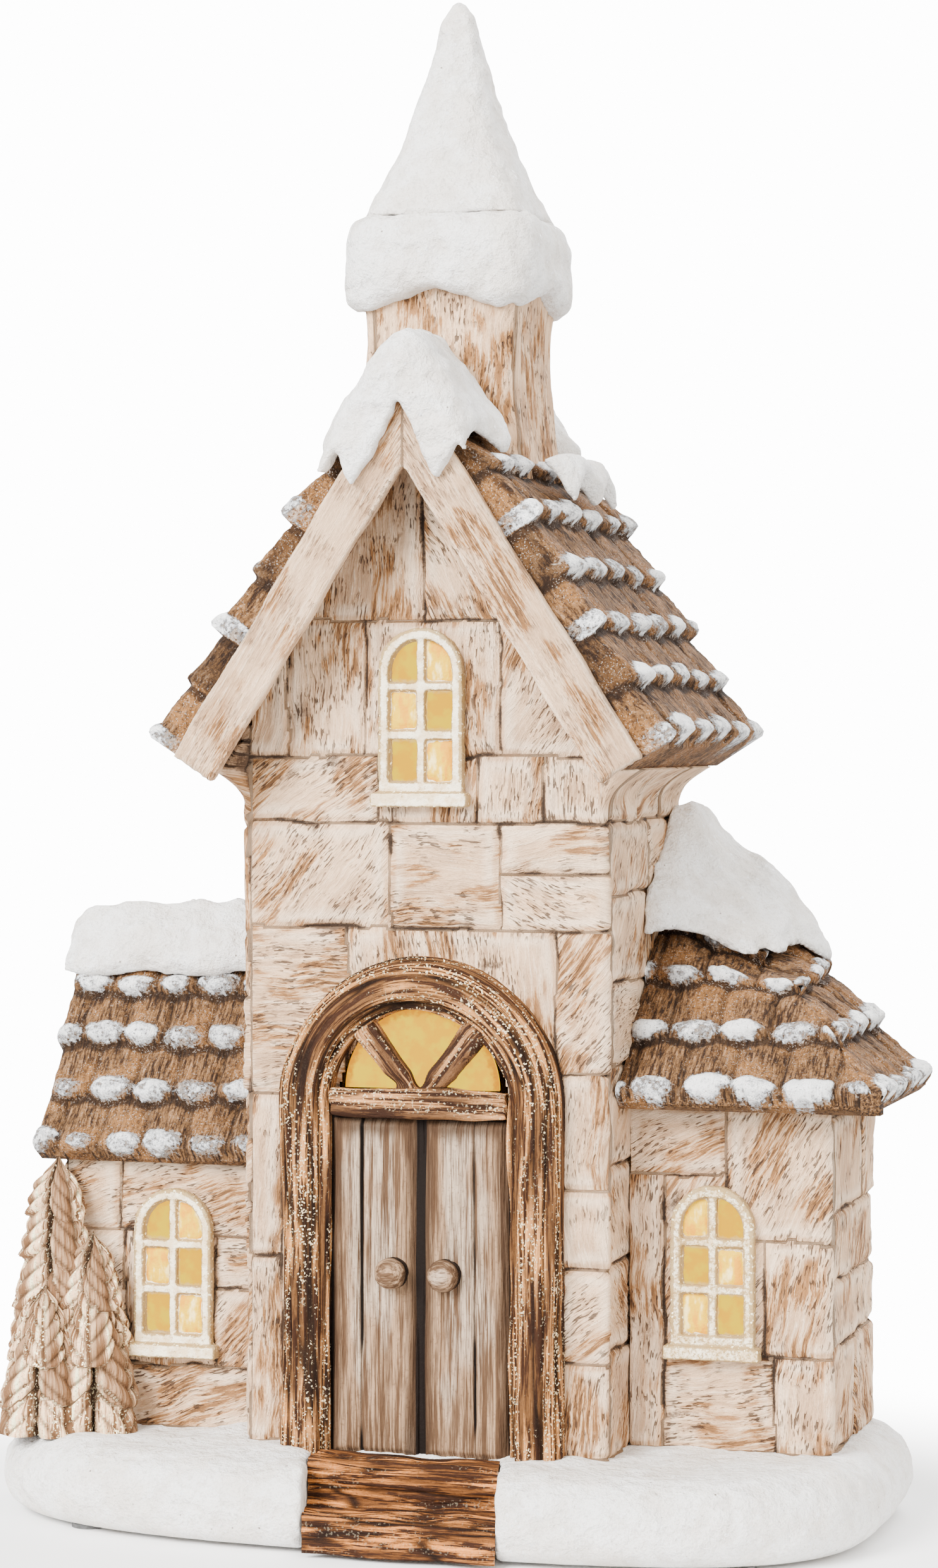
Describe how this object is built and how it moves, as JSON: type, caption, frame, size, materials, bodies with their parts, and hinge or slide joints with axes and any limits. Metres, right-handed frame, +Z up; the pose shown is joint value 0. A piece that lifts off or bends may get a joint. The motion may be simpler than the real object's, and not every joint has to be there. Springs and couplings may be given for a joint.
{
  "type": "lighted ceramic village house",
  "caption": "Snow-covered clay cottage with a tower, two wings and arched doors, hollow and lit from inside through amber windows.",
  "frame": {"origin": "middle of the footprint, on the surface that the felt pads stand on", "axes": "+Z up along the tower, -Y out of the front doors, +X to the right as seen from the front"},
  "size_m": [0.206, 0.104, 0.341],
  "materials": {
    "snow_paint": "matt white snow paint over clay with fine glitter",
    "bisque_clay": "combed clay, cream wash with rust dry brushing",
    "tile_clay": "brown stained clay tiles with white tips",
    "trim_glitter": "brown stained clay with gold glitter",
    "door_clay": "grey brown stained clay boards",
    "path_clay": "brown stained clay logs",
    "frame_gold": "cream clay with pale gold glitter",
    "tree_glitter": "tan stained clay with gold glitter",
    "amber_film": "translucent amber film",
    "black_plastic": "moulded black plastic",
    "white_plastic": "moulded white plastic",
    "zinc_steel": "zinc plated steel",
    "cell_steel": "plain cell jacket",
    "board_green": "green circuit board",
    "chip_black": "black chip",
    "lamp_lens": "milky warm diode lens",
    "wire_red": "insulated wire",
    "felt_grey": "grey felt"
  },
  "bodies": {
    "house": {"base_slab": "snow_paint", "path_steps": "path_clay", "foot_pads": "felt_grey", "main_walls": "bisque_clay", "left_wing_walls": "bisque_clay", "right_wing_walls": "bisque_clay", "main_roof": "tile_clay", "left_roof": "tile_clay", "right_roof": "tile_clay", "bargeboards": "bisque_clay", "tower_shaft": "bisque_clay", "tower_cap": "snow_paint", "spire": "snow_paint", "gable_snow": "snow_paint", "tower_foot_snow": "snow_paint", "left_roof_snow": "snow_paint", "right_roof_snow": "snow_paint", "door_surround": "trim_glitter", "fanlight_bars": "trim_glitter", "door_leaf_left": "door_clay", "door_leaf_right": "door_clay", "door_knobs": "door_clay", "gable_window_frame": "frame_gold", "left_window_frame": "frame_gold", "right_window_frame": "frame_gold", "gable_window_film": "amber_film", "left_window_film": "amber_film", "right_window_film": "amber_film", "fanlight_film": "amber_film", "spruce_trees": "tree_glitter", "battery_box": "black_plastic", "batteries": "cell_steel", "battery_springs": "zinc_steel", "contact_plates": "zinc_steel", "timer_board": "board_green", "timer_chip": "chip_black", "switch_housing": "black_plastic", "lamp_post": "white_plastic", "led_lamps": "lamp_lens", "lamp_wires": "wire_red"},
    "cover": {"battery_cover": "black_plastic"},
    "screw": {"cover_screw": "zinc_steel"},
    "slider": {"switch_slider": "white_plastic"}
  },
  "joints": [
    {"name": "battery_cover_lift", "type": "slide", "parent": "house", "child": "cover", "axis": [0, 0, -1], "range_m": [0, 0.03]},
    {"name": "cover_screw_turn", "type": "hinge", "parent": "cover", "child": "screw", "pos_m": [-0.02875, -0.01525, 0.001], "axis": [0, 0, 1], "continuous": true},
    {"name": "switch_slide", "type": "slide", "parent": "house", "child": "slider", "axis": [0, 1, 0], "range_m": [0, 0.004]}
  ]
}
